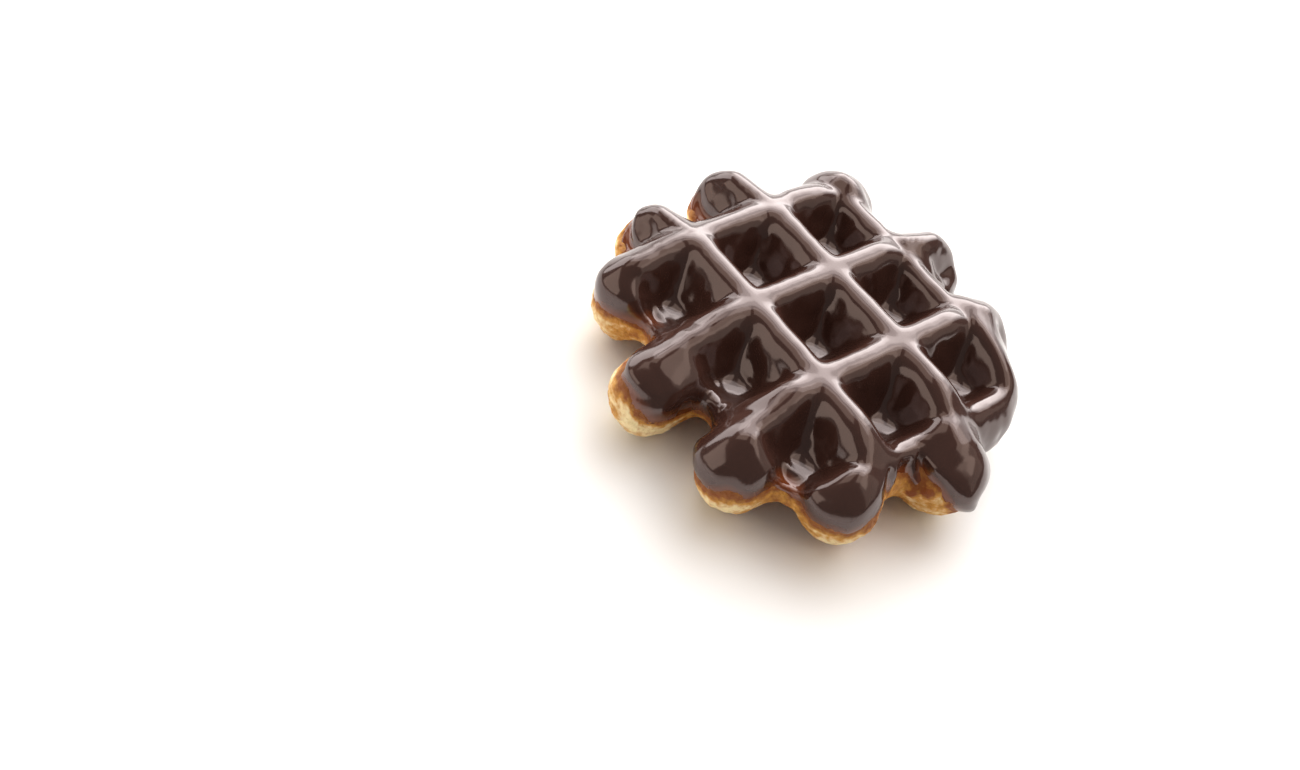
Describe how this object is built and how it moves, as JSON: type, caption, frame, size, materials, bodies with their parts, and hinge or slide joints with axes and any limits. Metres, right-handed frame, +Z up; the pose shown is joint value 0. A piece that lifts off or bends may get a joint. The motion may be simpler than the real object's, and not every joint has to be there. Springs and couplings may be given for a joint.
{
  "type": "chocolate coated belgian waffle",
  "caption": "Round Belgian waffle with a grid of square pockets on both faces and knobbly rib ends, its upper face and side coated in dark chocolate; rests flat.",
  "frame": {"origin": "on the table, under the middle of the waffle's outline", "axes": "the ribs run along X and Y, and Z is up through the waffle's thickness"},
  "size_m": [0.1071, 0.1029, 0.0267],
  "materials": {
    "dough": "matte, fine-wrinkled baked crust, pale at the free ends and brown where the iron touched it",
    "chocolate": "glossy set dark chocolate"
  },
  "bodies": {
    "root": {"waffle": "dough", "chocolate_coat": "chocolate"}
  },
  "joints": []
}
